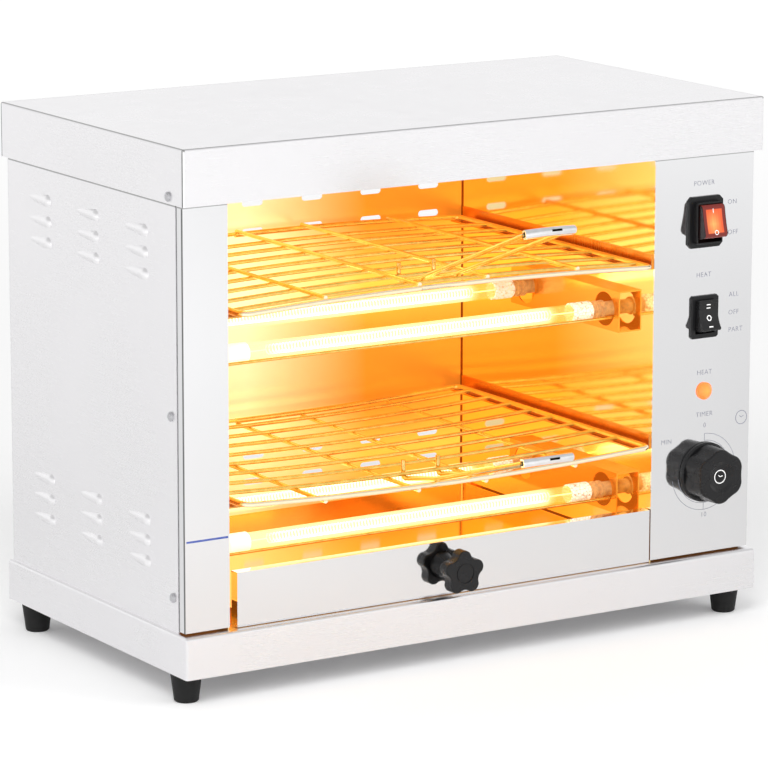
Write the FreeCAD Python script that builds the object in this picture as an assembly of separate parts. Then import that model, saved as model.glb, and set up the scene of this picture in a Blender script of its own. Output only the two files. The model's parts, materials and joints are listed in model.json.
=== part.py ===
import FreeCAD, Part
import math
import os

# Two-tier salamander grill: a folded sheet-steel case, two wire racks that slide on rails,
# three pairs of quartz lamps, a crumb tray and a column of controls.
# Millimetres. X runs right, Y to the rear and Z up, from the front left lower corner of the base.

Vector = FreeCAD.Vector

# Case
CASE_WIDTH = 480.0
CASE_DEPTH = 262.0
CASE_HEIGHT = 364.0
SHEET = 1.0
BEND_RADIUS = 2.0
LID_BEND = 1.2
LID_SKIRT = 39.0
SEAM_WIDTH = 0.5
SEAM_TOP = 3.0
BASE_HEIGHT = 29.5
BASE_FLANGE = 24.0
SIDE_INSET = 3.0
PANEL_FRONT = 7.0
PANEL_REAR = 257.0
PANEL_BOTTOM = 31.0
PANEL_TOP = 350.0
FLANGE = 12.0
RETURN_DEPTH = 8.0
JOGGLE_DEPTH = 17.0

# Heated chamber
CHAMBER_LEFT = 38.0
CHAMBER_RIGHT = 390.0
CHAMBER_MIDDLE = (CHAMBER_LEFT + CHAMBER_RIGHT) / 2
CEILING = 356.0

# Rear slots and side louvres
SLOT_LENGTH = 18.0
SLOT_HEIGHT = 5.0
SLOT_PITCH = 51.5
SLOTS_PER_ROW = 7
FIRST_SLOT = 50.0
SLOT_ROWS = (63.0, 82.7, 252.5, 274.0)
LOUVRE_LENGTH = 34.0
LOUVRE_CREST = 5.5
LOUVRE_SINK = 2.7
LOUVRE_SLIT = 3.2
LOUVRE_COLUMNS = (70.2, 139.3, 209.2)
LOUVRE_ROWS = (70.5, 85.5, 100.0, 271.0, 286.0, 301.0)

# Rack rails
TIER_LEDGES = {"lower": 114.6, "upper": 245.9}
LEDGE_WIDTH = 12.0
RAIL_UPSTAND = 9.5
RAIL_SHEET = 1.2
RAIL_ENDS = (9.0, 255.0)
RACK_LIFT = 0.6

# Wire racks
FRAME_WIRE = 2.0
CROSS_WIRE = 1.5
WELD_DEPTH = 0.4
RACK_HALF_WIDTH = 168.0
RACK_FRONT = -1.0
RACK_REAR = 249.0
RACK_CORNER = 6.0
RACK_DISH = 4.5
DISHED_RUN = 150.0
DISH_DROP = RACK_DISH / (1 - DISHED_RUN / (2 * RACK_HALF_WIDTH))
DISH_RADIUS = DISHED_RUN * RACK_HALF_WIDTH / DISH_DROP
DEPTH_WIRES = (-104.0, -28.0, 28.0, 104.0)
FIRST_CROSS = 38.8
CROSS_PITCH = 27.6
CROSS_COUNT = 8

# Rack handles
HANDLE_WIRE = 1.7
HANDLE_GAP = 0.1
HOOK_HALF_WIDTH = 14.5
GRIP_HALF_WIDTH = 18.0
POST_RISE = 10.0
GRIP_REACH = 117.0
GRIP_HEIGHTS = {"lower": 151.0, "upper": 307.0}
SHOULDER_RADIUS = 4.5
GRIP_ARCH_RADIUS = 90.0
GRIP_ARCH_RISE = 2.5
GRIP_LENGTH = 40.0
GRIP_RADIUS = 3.0
GRIP_SLOT = (-7.6, 0.8)
GRIP_LIP = 3.2
LEG_BEND = 30.0

# Quartz lamps
TIER_LAMPS = {"lower": 76.0, "upper": 210.0, "top": 338.0}
LAMP_DEPTHS = {"front": 54.0, "rear": 156.0}
TUBE_RADIUS = 6.0
TUBE_WALL = 1.0
COIL_RADIUS = 3.8
COIL_HALF_LENGTH = 118.0
LEAD_RADIUS = 0.8
CAP_RADIUS = 7.0
CAP_INNER_END = 135.0
CAP_OUTER_END = 153.0
TUBE_SEAT = 12.0
HOLDER_RADIUS = 5.2
HOLDER_RIB = 6.6
HOLDER_NECK = 4.0

# Lamp brackets and guard wires
BRACKET_STAND_OFF = 10.0
BRACKET_HEIGHT = 30.0
BRACKET_ENDS = (36.0, 175.0)
BRACKET_HOLE = 12.5
GUARD_RADIUS = 1.15
GUARD_DROP = 5.0
GUARD_OFFSET = 9.0

# Crumb tray
TRAY_LEFT = 44.0
TRAY_RIGHT = 389.0
TRAY_PLATE_BOTTOM = 30.0
TRAY_PLATE_TOP = 68.5
TRAY_FLOOR = 29.8
TRAY_RIM = 41.0
PAN_ENDS = (8.0, 250.0)
PAN_SIDES = (46.0, 387.5)
PAN_CORNER = 4.0
KNOB_X = 217.0
KNOB_Z = 49.0
STAR_LOBES = 5
STAR_RADIUS = 16.0
STAR_VALLEY = 12.2
STAR_THICKNESS = 10.0
STAR_PROUD = 20.0
STAR_ROUND = 1.2
STAR_NECK = (6.5, 10.0)
STAR_RING = (6.6, 7.2)
STUD_RADIUS = 2.5
STUD_REACH = 10.0
STUD_NUT = 5.0
STUD_NUT_RADIUS = 4.6

# Controls
CONTROL_RIGHT = CASE_WIDTH - SIDE_INSET
POWER_CENTRE = (433.7, 275.9)
HEAT_CENTRE = (434.4, 206.4)
LENS_CENTRE = (435.8, 151.5)
TIMER_CENTRE = (437.0, 91.3)
PIVOT_RADIUS = 1.5
STUB_REACH = 0.8
STUB_SEAT = 0.9
BEZEL_RIM = 0.9
COLLAR_CORNER = 1.2
COLLAR_RIM = 0.5
WELL_DEPTH = 6.5
ROCKER_HEEL = 3.0
ROCKER_BELLY = (3.5, 5.0)
TAB_WIDTH = 6.4
TAB_LENGTH = 8.0
TAB_SHEET = 0.8
TAB_PITCH = 8.0
RUNNING_FIT = 0.05
LOBE_SHARE = 0.27
LENS_RADIUS = 6.4
LENS_RISE = 4.6
LENS_RIM = 1.2
LENS_STEP = 0.6
LENS_FACETS = 5
SPIGOT_RADIUS = 4.4
SPIGOT_LENGTH = 2.5
BARREL_RADIUS = 5.0
BARREL_LENGTH = 24.0
BARREL_NUT = (7.5, 3.0)
TIMER_SKIRT = 22.0
TIMER_GRIP = 20.5
TIMER_FLUTE = 18.8
TIMER_FLUTES = 6
TIMER_PROUD = 22.0
TIMER_GAP = 0.4
SKIRT_THICKNESS = 3.2
SKIRT_BEVEL = 1.2
TIMER_TAPER = (0.3, 0.5)
TIMER_ROUND = 1.6
TIMER_DISH = ((2.2, 0), (2.2, 6.0), (1.4, 9.0), (0, 11.5), (-1, 11.5), (-1, 0))
TIMER_CASE = (21.0, 23.0)
TIMER_REAR = 38.0
TIMER_CORNER = 4.0
TIMER_PLATE = (26.0, 8.0)
SHAFT_RADIUS = 3.0
SHAFT_FLAT = 1.6
SHAFT_TAIL = 14.0
SHAFT_REACH = 15.0

# Terminal block
TERMINAL_LEFT = 410.0
TERMINAL_PITCH = 12.0
TERMINAL_WAYS = 4
TERMINAL_ENDS = (196.0, 212.0)
TERMINAL_HEIGHT = 16.0
TERMINAL_HOLES = (3.2, 2.2)

# Feet, screws and gland
FOOT_HEIGHT = 20.5
FOOT_TOP_RADIUS = 11.2
FOOT_BOTTOM_RADIUS = 8.6
FOOT_INSET_X = 12.0
FOOT_INSET_Y = 22.0
FOOT_RECESS = 5.0
FOOT_GRIP = 8.0
FOOT_NUT = (4.5, 4.3)
FOOT_SCREW_HEAD = (4.6, 2.6)
SCREW_HEAD = 3.4
SCREW_RISE = 1.8
SCREW_SHANK = 1.9
SIDE_SCREWS = ((20.0, 330.0), (24.0, 179.0), (23.0, 53.0))
REAR_SCREWS = ((10.0, 48.0), (10.0, 318.0), (470.0, 48.0), (470.0, 318.0))
GLAND_CENTRE = (440.0, 62.0)
GLAND_REACH = 14.0
GLAND_THREAD = 8.0
GLAND_BORE = 3.6
GLAND_FLANGE = 11.0

# Switches: outer sizes of bezel, collar and neck, half sizes of the well and the rocker, and the
# rocker's face from its pivot
POWER = {
    "bezel": (30.6, 37.4), "proud": 2.2, "corner": 3.0, "collar": (22.8, 30.4), "rise": 7.0,
    "neck": (22.0, 30.0), "depth": 20.0, "well": (10.4, 14.0), "pivot": 4.5,
    "rocker": (10.0, 12.0), "crest": 10.9, "dip": 10.3, "end_radius": 3.0, "tilt": 13.0,
}
HEAT = {
    "bezel": (24.2, 31.4), "proud": 2.0, "corner": 1.6, "collar": None, "rise": 2.0,
    "neck": (19.6, 26.0), "depth": 20.0, "well": (8.6, 12.2), "pivot": 8.0,
    "rocker": (8.2, 11.2), "crest": 10.2, "dip": 7.6, "end_radius": 1.4, "tilt": 13.0,
}


# Shapes that several sub-parts share

def block(x0, x1, y0, y1, z0, z1):
    return Part.makeBox(x1 - x0, y1 - y0, z1 - z0, Vector(x0, y0, z0))


def rod(start, end, radius):
    return Part.makeCylinder(radius, (end - start).Length, start, end - start)


def fuse(shapes):
    return shapes[0].multiFuse(shapes[1:]).removeSplitter()


def cut(shape, tools):
    return shape.cut(Part.Compound(tools))


def mirrored(shape, plane_x):
    return shape.mirror(Vector(plane_x, 0, 0), Vector(1, 0, 0))


def outline(points):
    return Part.makePolygon(points + [points[0]])


def turned(profile, start, direction):
    """Revolve (distance along, radius) pairs about a line from start along direction."""
    points = [Vector(radius, 0, along) for along, radius in profile]
    face = Part.Face(outline(points))
    solid = face.revolve(Vector(0, 0, 0), Vector(0, 0, 1), 360)
    solid.Placement = FreeCAD.Placement(start, FreeCAD.Rotation(Vector(0, 0, 1), direction))
    return solid


def edges_along(shape, axis):
    """Straight edges that run along one axis, 0 for X, 1 for Y and 2 for Z."""
    picked = []
    for edge in shape.Edges:
        if len(edge.Vertexes) < 2:
            continue
        run = edge.Vertexes[1].Point - edge.Vertexes[0].Point
        if abs(abs(run[axis]) - run.Length) < 1e-6:
            picked.append(edge)
    return picked


def bent_rod(points, bends, radius):
    """A wire through corner points; each inner corner is an arc of its own radius."""
    edges = []
    start = points[0]
    for before, corner, after, bend in zip(points, points[1:], points[2:], bends):
        inward = (before - corner).normalize()
        outward = (after - corner).normalize()
        half = inward.getAngle(outward) / 2
        run = bend / math.tan(half)
        middle = (inward + outward).normalize() * (bend / math.sin(half) - bend)
        entry = corner + inward * run
        leave = corner + outward * run
        edges.append(Part.LineSegment(start, entry).toShape())
        edges.append(Part.Arc(entry, corner + middle, leave).toShape())
        start = leave
    edges.append(Part.LineSegment(start, points[-1]).toShape())
    section = Part.Wire(Part.makeCircle(radius, points[0], points[1] - points[0]))
    return Part.Wire(edges).makePipeShell([section], True, False)


def lobed_outline(lobes, crest, valley, level):
    """A closed star outline in the XY plane: convex arcs over the lobes, concave between."""
    def at(radius, turn):
        angle = 2 * math.pi * turn / lobes
        return Vector(radius * math.sin(angle), radius * math.cos(angle), level)
    flank = (crest + valley) / 2
    edges = []
    for lobe in range(lobes):
        rising, falling = at(flank, lobe - LOBE_SHARE), at(flank, lobe + LOBE_SHARE)
        following = at(flank, lobe + 1 - LOBE_SHARE)
        edges.append(Part.Arc(rising, at(crest, lobe), falling).toShape())
        edges.append(Part.Arc(falling, at(valley, lobe + 0.5), following).toShape())
    return Part.Wire(edges)


def facing_front(shape, x, y, z):
    """Turn a shape built up along +Z so that it grows towards the front from (x, y, z)."""
    shape.Placement = FreeCAD.Placement(Vector(x, y, z), FreeCAD.Rotation(Vector(1, 0, 0), 90))
    return shape


# Case shells

def pan_block(inset, bottom, top, radius):
    """A block over the case's plan, less an inset, with rounded upright and top edges."""
    shape = block(inset, CASE_WIDTH - inset, inset, CASE_DEPTH - inset, bottom, top)
    rounded = [edge for edge in shape.Edges if edge.BoundBox.ZMax > bottom + 1e-6]
    return shape.makeFillet(radius, rounded)


def corner_seams():
    """Gaps between the side skirts of the lid and the ends of its front and rear skirts."""
    seams = []
    for x in (-1.0, CASE_WIDTH - SHEET):
        for y in (SHEET, CASE_DEPTH - SHEET - SEAM_WIDTH):
            seams.append(block(x, x + SHEET + 1, y, y + SEAM_WIDTH, CASE_HEIGHT - LID_SKIRT - 1,
                               CASE_HEIGHT - SEAM_TOP))
    return seams


def lid():
    skirt_bottom = CASE_HEIGHT - LID_SKIRT
    outer = pan_block(0, skirt_bottom, CASE_HEIGHT, LID_BEND)
    inner = pan_block(SHEET, skirt_bottom - 5, CASE_HEIGHT - SHEET, LID_BEND - SHEET)
    y, z = SIDE_SCREWS[0]
    screw_holes = rod(Vector(-1, y, z), Vector(CASE_WIDTH + 1, y, z), SCREW_SHANK)
    return cut(outer, [inner, screw_holes] + corner_seams())


def foot_places():
    return [Vector(x, y, 0)
            for x in (FOOT_INSET_X, CASE_WIDTH - FOOT_INSET_X)
            for y in (FOOT_INSET_Y, CASE_DEPTH - FOOT_INSET_Y)]


def base_tray():
    outer = pan_block(0, 0, BASE_HEIGHT, BEND_RADIUS)
    cavity = pan_block(SHEET, SHEET, BASE_HEIGHT - SHEET, BEND_RADIUS - SHEET)
    below = block(BASE_FLANGE, CASE_WIDTH - BASE_FLANGE, BASE_FLANGE, CASE_DEPTH - BASE_FLANGE, -1, 2)
    holes = [rod(place - Vector(0, 0, 1), place + Vector(0, 0, 2), STUD_RADIUS)
             for place in foot_places()]
    return cut(outer, [cavity, below] + holes)


def louvre_body(y, z, inset):
    """A teardrop along Y, blunt in front; inset is the depth under its skin."""
    x = SIDE_INSET + LOUVRE_SINK
    tail = Vector(x, y + LOUVRE_LENGTH / 2, z)
    crest = Vector(x, y - LOUVRE_LENGTH / 2 + LOUVRE_CREST, z)
    cone = Part.makeCone(LOUVRE_SINK - inset, LOUVRE_CREST - inset, (crest - tail).Length, tail,
                         crest - tail)
    return cone.fuse(Part.makeSphere(LOUVRE_CREST - inset, crest))


def louvre(y, z):
    """The part of the teardrop that stands out of the left panel."""
    reach = LOUVRE_LENGTH
    outside = block(-reach, SIDE_INSET + SHEET / 2, y - reach, y + reach, z - reach, z + reach)
    return louvre_body(y, z, 0).common(outside)


def louvre_slit(y, z):
    """Opens the underside of a louvre for the air."""
    half = LOUVRE_LENGTH / 2
    return block(-1, SIDE_INSET, y - half, y + half - LOUVRE_CREST, z - LOUVRE_CREST, z - LOUVRE_SLIT)


def left_side_panel():
    plate = block(SIDE_INSET, SIDE_INSET + SHEET, PANEL_FRONT + RETURN_DEPTH + 1, PANEL_REAR,
                  BASE_HEIGHT, PANEL_TOP)
    rear = block(SIDE_INSET, SIDE_INSET + SHEET + FLANGE, PANEL_REAR - SHEET, PANEL_REAR,
                 BASE_HEIGHT, PANEL_TOP)
    places = [(y, z) for y in LOUVRE_COLUMNS for z in LOUVRE_ROWS]
    hoods = [louvre(y, z) for y, z in places]
    hollows = [louvre_body(y, z, SHEET) for y, z in places]
    slits = [louvre_slit(y, z) for y, z in places]
    holes = [rod(Vector(0, y, z), Vector(8, y, z), SCREW_SHANK) for y, z in SIDE_SCREWS]
    holes += [rod(Vector(x, 250, z), Vector(x, 260, z), SCREW_SHANK) for x, z in REAR_SCREWS]
    return cut(fuse([plate, rear] + hoods), hollows + slits + holes)


def right_side_panel():
    return mirrored(left_side_panel(), CASE_WIDTH / 2)


def rear_panel():
    plate = block(SIDE_INSET, CASE_WIDTH - SIDE_INSET, PANEL_REAR, PANEL_REAR + SHEET,
                  BASE_HEIGHT, PANEL_TOP)
    tools = []
    for z in SLOT_ROWS:
        for column in range(SLOTS_PER_ROW):
            tools.append(slot_tool(FIRST_SLOT + column * SLOT_PITCH, z))
    for x, z in REAR_SCREWS:
        tools.append(rod(Vector(x, 250, z), Vector(x, 265, z), SCREW_SHANK))
    gland_x, gland_z = GLAND_CENTRE
    tools.append(rod(Vector(gland_x, 250, gland_z), Vector(gland_x, 265, gland_z), GLAND_THREAD))
    return cut(plate, tools)


def slot_tool(x, z):
    """A slot with half-round ends that goes through the rear panel."""
    shape = block(x - SLOT_LENGTH / 2, x + SLOT_LENGTH / 2, PANEL_REAR - 1, PANEL_REAR + 2,
                  z - SLOT_HEIGHT / 2, z + SLOT_HEIGHT / 2)
    return shape.makeFillet(SLOT_HEIGHT / 2 - 0.01, edges_along(shape, 1))


def front_channel(left, right, outer_left):
    """An upright front panel whose outer return steps in under the side panel."""
    back = PANEL_FRONT + SHEET
    step = PANEL_FRONT + RETURN_DEPTH
    face = block(left, right, PANEL_FRONT, back, PANEL_BOTTOM, PANEL_TOP)
    outer = left if outer_left else right - SHEET
    tucked = outer + SHEET if outer_left else outer - SHEET
    inner = right - 2 * SHEET if outer_left else left + SHEET
    side = block(outer, outer + SHEET, PANEL_FRONT, step, PANEL_BOTTOM, PANEL_TOP)
    tuck = block(tucked, tucked + SHEET, step - SHEET, step + JOGGLE_DEPTH, PANEL_BOTTOM, PANEL_TOP)
    wall = block(inner, inner + SHEET, PANEL_FRONT, back + FLANGE, PANEL_BOTTOM, PANEL_TOP)
    return [face, side, tuck, wall]


def left_front_strip():
    sheets = front_channel(SIDE_INSET, CHAMBER_LEFT, True)
    holes = [rod(Vector(0, y, z), Vector(8, y, z), SCREW_SHANK) for y, z in SIDE_SCREWS]
    return cut(fuse(sheets), holes)


def control_panel():
    shape = fuse(front_channel(CHAMBER_RIGHT, CONTROL_RIGHT, False))
    holes = [rod(Vector(CASE_WIDTH - 8, y, z), Vector(CASE_WIDTH, y, z), SCREW_SHANK)
             for y, z in SIDE_SCREWS]
    holes.append(panel_window(POWER_CENTRE, POWER))
    holes.append(panel_window(HEAT_CENTRE, HEAT))
    for (x, z), radius in ((LENS_CENTRE, BARREL_RADIUS + 0.1), (TIMER_CENTRE, SHAFT_RADIUS + 1)):
        holes.append(rod(Vector(x, 0, z), Vector(x, 12, z), radius))
    return cut(shape, holes)


def left_chamber_wall():
    """The left wall of the chamber, with flanges bent outward at its foot, head and rear."""
    outer = CHAMBER_LEFT - SHEET
    front, rear_end, top = 24.0, PANEL_REAR - 4, CASE_HEIGHT - SHEET
    plate = block(outer, CHAMBER_LEFT, PANEL_FRONT + SHEET, PANEL_REAR, BASE_HEIGHT, top)
    foot = block(outer - FLANGE, outer, front, rear_end, BASE_HEIGHT, BASE_HEIGHT + SHEET)
    head = block(outer - FLANGE, outer, front, rear_end, top - SHEET, top)
    rear = block(outer - FLANGE, outer, PANEL_REAR - SHEET, PANEL_REAR, PANEL_BOTTOM, PANEL_TOP)
    holes = [rod(Vector(outer - 1, y, z), Vector(CHAMBER_LEFT + 1, y, z), HOLDER_NECK + RUNNING_FIT)
             for y in LAMP_DEPTHS.values()
             for z in TIER_LAMPS.values()]
    return cut(fuse([plate, foot, head, rear]), holes)


def right_chamber_wall():
    return mirrored(left_chamber_wall(), CHAMBER_MIDDLE)


def top_reflector():
    """The ceiling plate over the top lamps, hung between the walls by its upturned sides."""
    front, rear = PANEL_FRONT + 2 * SHEET, PANEL_REAR - SHEET
    plate = block(CHAMBER_LEFT, CHAMBER_RIGHT, front, rear, CEILING, CEILING + SHEET)
    sides = [block(x, x + SHEET, front, rear, CEILING, CEILING + 6)
             for x in (CHAMBER_LEFT, CHAMBER_RIGHT - SHEET)]
    return fuse([plate] + sides)


# Rails, racks and handles

def left_rail(tier):
    top = TIER_LEDGES[tier]
    front, rear = RAIL_ENDS
    ledge = block(CHAMBER_LEFT, CHAMBER_LEFT + LEDGE_WIDTH, front, rear, top - RAIL_SHEET, top)
    stand = block(CHAMBER_LEFT, CHAMBER_LEFT + RAIL_SHEET, front, rear, top - RAIL_SHEET,
                  top + RAIL_UPSTAND)
    return fuse([ledge, stand])


def rack_level(tier):
    """Height of the rack's frame wire where it lies on the rails."""
    return TIER_LEDGES[tier] + RACK_LIFT + FRAME_WIRE


def bow_side(tier):
    """Which way a rack bows: the lower one down, the upper one up, as it lies turned over."""
    return -1 if tier == "lower" else 1


def cross_rows(tier):
    """Depths of the cross wires; turning a rack over also swaps its front and rear."""
    rows = [RACK_FRONT + FIRST_CROSS + row * CROSS_PITCH for row in range(CROSS_COUNT)]
    if tier == "lower":
        return rows
    return [RACK_FRONT + RACK_REAR - y for y in reversed(rows)]


def dished_level(tier, offset):
    """Height of the wires at a distance from the middle of the rack."""
    return rack_level(tier) + bow_side(tier) * (RACK_DISH - offset ** 2 / (2 * DISH_RADIUS))


def rack(tier):
    """A dished loop with cross wires between its sides and depth wires welded across them."""
    level, side = rack_level(tier), bow_side(tier)
    left, right = CHAMBER_MIDDLE - RACK_HALF_WIDTH, CHAMBER_MIDDLE + RACK_HALF_WIDTH
    apex = level + side * DISH_DROP
    half_way = (RACK_FRONT + RACK_REAR) / 2
    loop = [Vector(left, half_way, level), Vector(left, RACK_FRONT, level),
            Vector(CHAMBER_MIDDLE, RACK_FRONT, apex), Vector(right, RACK_FRONT, level),
            Vector(right, RACK_REAR, level), Vector(CHAMBER_MIDDLE, RACK_REAR, apex),
            Vector(left, RACK_REAR, level), Vector(left, half_way, level)]
    bends = [RACK_CORNER, DISH_RADIUS, RACK_CORNER, RACK_CORNER, DISH_RADIUS, RACK_CORNER]
    wires = [bent_rod(loop, bends, FRAME_WIRE)]
    for y in cross_rows(tier):
        points = [Vector(left, y, level), Vector(CHAMBER_MIDDLE, y, apex), Vector(right, y, level)]
        wires.append(bent_rod(points, [DISH_RADIUS], CROSS_WIRE))
    for offset in DEPTH_WIRES:
        x = CHAMBER_MIDDLE + offset
        z = dished_level(tier, offset) + side * (2 * CROSS_WIRE - WELD_DEPTH)
        wires.append(rod(Vector(x, RACK_FRONT, z), Vector(x, RACK_REAR, z), CROSS_WIRE))
    return fuse(wires)


def handle_line(tier):
    """Side view of the handle: hook corner, bearing point on the rack, and grip."""
    wires = [(RACK_FRONT, FRAME_WIRE)] + [(y, CROSS_WIRE) for y in cross_rows(tier)]
    first = 0 if tier == "lower" else 1
    level = dished_level(tier, HOOK_HALF_WIDTH)
    bearing_y, bearing_wire = wires[first]
    hook_y, hook_wire = wires[first + 1]
    bearing = Vector(0, bearing_y, level + bearing_wire + HANDLE_WIRE + HANDLE_GAP)
    hook_gap = hook_wire + HANDLE_WIRE + HANDLE_GAP
    reach = Vector(0, hook_y, level) - bearing
    slope = math.atan2(reach.z, reach.y) - math.asin(hook_gap / reach.Length)
    run = hook_y + hook_gap - bearing_y
    corner = bearing + Vector(0, run, run * math.tan(slope))
    grip = Vector(0, -GRIP_REACH, GRIP_HEIGHTS[tier])
    return corner, bearing, grip, hook_gap


def handle(tier):
    """A wire loop: two legs bear on one wire of the rack and hook up behind the next."""
    corner, bearing, grip, hook_gap = handle_line(tier)
    reach = (grip - bearing).normalize()
    post = corner + Vector(0, 0, hook_gap + POST_RISE)
    apex = grip + reach * GRIP_ARCH_RISE
    points = []
    for side in (-1, 1):
        hook_x = Vector(CHAMBER_MIDDLE + side * HOOK_HALF_WIDTH, 0, 0)
        grip_x = Vector(CHAMBER_MIDDLE + side * GRIP_HALF_WIDTH, 0, 0)
        leg = [post + hook_x, corner + hook_x, bearing + hook_x, grip + grip_x]
        points += leg if side < 0 else leg[::-1]
    points.insert(4, apex + Vector(CHAMBER_MIDDLE, 0, 0))
    bends = [hook_gap, LEG_BEND, SHOULDER_RADIUS, GRIP_ARCH_RADIUS, SHOULDER_RADIUS, LEG_BEND,
             hook_gap]
    return bent_rod(points, bends, HANDLE_WIRE)


def grip_crown():
    """How far the arched end stands ahead of its shoulders."""
    half_turn = math.atan(GRIP_ARCH_RISE / GRIP_HALF_WIDTH)
    return GRIP_ARCH_RISE - GRIP_ARCH_RADIUS * (1 / math.cos(half_turn) - 1)


def grip_front(tier):
    """The foremost Y of a grip."""
    corner, bearing, grip, hook_gap = handle_line(tier)
    reach = (grip - bearing).normalize()
    return grip.y + reach.y * grip_crown() - GRIP_RADIUS


def handle_grip(tier):
    """A rolled strip round the end of the wire loop, open towards the rack, with a slot."""
    corner, bearing, grip, hook_gap = handle_line(tier)
    reach = (grip - bearing).normalize()
    channel = HANDLE_WIRE + RUNNING_FIT
    lip = -GRIP_LIP
    def at(along, up):
        return Vector(0, along, up)
    edges = [
        Part.LineSegment(at(lip, GRIP_RADIUS), at(0, GRIP_RADIUS)),
        Part.Arc(at(0, GRIP_RADIUS), at(GRIP_RADIUS, 0), at(0, -GRIP_RADIUS)),
        Part.LineSegment(at(0, -GRIP_RADIUS), at(lip, -GRIP_RADIUS)),
        Part.LineSegment(at(lip, -GRIP_RADIUS), at(lip, -channel)),
        Part.LineSegment(at(lip, -channel), at(0, -channel)),
        Part.Arc(at(0, -channel), at(channel, 0), at(0, channel)),
        Part.LineSegment(at(0, channel), at(lip, channel)),
        Part.LineSegment(at(lip, channel), at(lip, GRIP_RADIUS)),
    ]
    section = Part.Face(Part.Wire([edge.toShape() for edge in edges]))
    centre = Vector(0, -GRIP_ARCH_RADIUS, 0)
    sweep = math.degrees(GRIP_LENGTH / GRIP_ARCH_RADIUS)
    strip = section.revolve(centre, Vector(0, 0, 1), sweep)
    strip.rotate(centre, Vector(0, 0, 1), -sweep / 2)
    window = block(GRIP_SLOT[0], GRIP_SLOT[1], 0, 2 * GRIP_RADIUS, -0.8, 0.8)
    strip = strip.cut(window)
    strip.rotate(Vector(0, 0, 0), Vector(1, 0, 0), math.degrees(math.atan2(reach.z, reach.y)))
    strip = mirrored(strip, 0)
    strip.translate(grip + reach * grip_crown() + Vector(CHAMBER_MIDDLE, 0, 0))
    return strip


# Lamps

def lamp_line(tier, place, inner, outer, side):
    """Two points on a lamp's axis, at distances from the middle towards one side."""
    y, z = LAMP_DEPTHS[place], TIER_LAMPS[tier]
    return (Vector(CHAMBER_MIDDLE + side * inner, y, z), Vector(CHAMBER_MIDDLE + side * outer, y, z))


def quartz_tube(tier, place):
    half = CAP_INNER_END + TUBE_SEAT
    left, right = lamp_line(tier, place, -half, half, 1)
    return rod(left, right, TUBE_RADIUS).cut(rod(left, right, TUBE_RADIUS - TUBE_WALL))


def heating_coil(tier, place):
    """The wound filament, as the rod it fills, with a straight lead at each end."""
    coil = rod(*lamp_line(tier, place, -COIL_HALF_LENGTH, COIL_HALF_LENGTH, 1), COIL_RADIUS)
    reach = CAP_OUTER_END - 2.0
    lead = rod(*lamp_line(tier, place, -reach, reach, 1), LEAD_RADIUS)
    return fuse([coil, lead])


def end_cap(tier, place, side):
    """A ceramic cap with a blind seat for the tube's end."""
    start, end = lamp_line(tier, place, CAP_INNER_END, CAP_OUTER_END, side)
    length = CAP_OUTER_END - CAP_INNER_END
    seat = TUBE_RADIUS + RUNNING_FIT
    profile = [(0, seat), (0, CAP_RADIUS - 0.4), (0.4, CAP_RADIUS), (length - 1.2, CAP_RADIUS),
               (length, CAP_RADIUS - 1.2), (length, 0), (length - 2, 0), (length - 2, 1.2),
               (TUBE_SEAT, 1.2), (TUBE_SEAT, seat)]
    return turned(profile, start, end - start)


def lamp_holder(tier, place, side):
    """A ribbed ceramic holder that passes through the bracket and is seated in the wall."""
    wall = CHAMBER_RIGHT - CHAMBER_MIDDLE
    start, end = lamp_line(tier, place, CAP_OUTER_END, wall, side)
    length = wall - CAP_OUTER_END
    profile = [(0, 0), (0, HOLDER_RADIUS)]
    for rib in (3.0, 8.0):
        profile += [(rib, HOLDER_RADIUS), (rib + 0.5, HOLDER_RIB), (rib + 2.5, HOLDER_RIB),
                    (rib + 3, HOLDER_RADIUS)]
    profile += [(length, HOLDER_RADIUS), (length, HOLDER_NECK), (length + 3, HOLDER_NECK),
                (length + 3, 1.8), (length + 12, 1.8), (length + 12, 0)]
    return turned(profile, start, end - start)


def left_bracket(tier):
    """A channel on the wall whose web has a round hole for each lamp."""
    middle = TIER_LAMPS[tier]
    low, high = middle - BRACKET_HEIGHT / 2, middle + BRACKET_HEIGHT / 2
    front, rear = BRACKET_ENDS
    face = CHAMBER_LEFT + BRACKET_STAND_OFF
    channel = block(CHAMBER_LEFT, face, front, rear, low, high)
    inside = block(CHAMBER_LEFT - 1, face - SHEET, front - 1, rear + 1, low + SHEET, high - SHEET)
    holes = [rod(Vector(CHAMBER_LEFT - 1, y, middle), Vector(face + 1, y, middle), BRACKET_HOLE)
             for y in LAMP_DEPTHS.values()]
    return cut(channel, [inside] + holes)


def guard_wire(tier, place):
    away = -GUARD_OFFSET if place == "front" else GUARD_OFFSET
    shift = Vector(0, away, -GUARD_DROP)
    half = CHAMBER_MIDDLE - CHAMBER_LEFT - BRACKET_STAND_OFF
    left, right = lamp_line(tier, place, -half, half, 1)
    return rod(left + shift, right + shift, GUARD_RADIUS)


# Crumb tray

def rear_rounded(shape, radius):
    """Round the two upright edges at the rear of a block."""
    middle = shape.BoundBox.Center.y
    rear = [edge for edge in edges_along(shape, 2) if edge.BoundBox.YMin > middle]
    return shape.makeFillet(radius, rear)


def crumb_tray_pan():
    left, right = PAN_SIDES
    front, rear = PAN_ENDS
    outer = rear_rounded(block(left, right, front, rear, TRAY_FLOOR, TRAY_RIM), PAN_CORNER)
    inner = block(left + SHEET, right - SHEET, front + SHEET, rear - SHEET, TRAY_FLOOR + SHEET,
                  TRAY_RIM + 5)
    return outer.cut(rear_rounded(inner, PAN_CORNER - SHEET))


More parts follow.
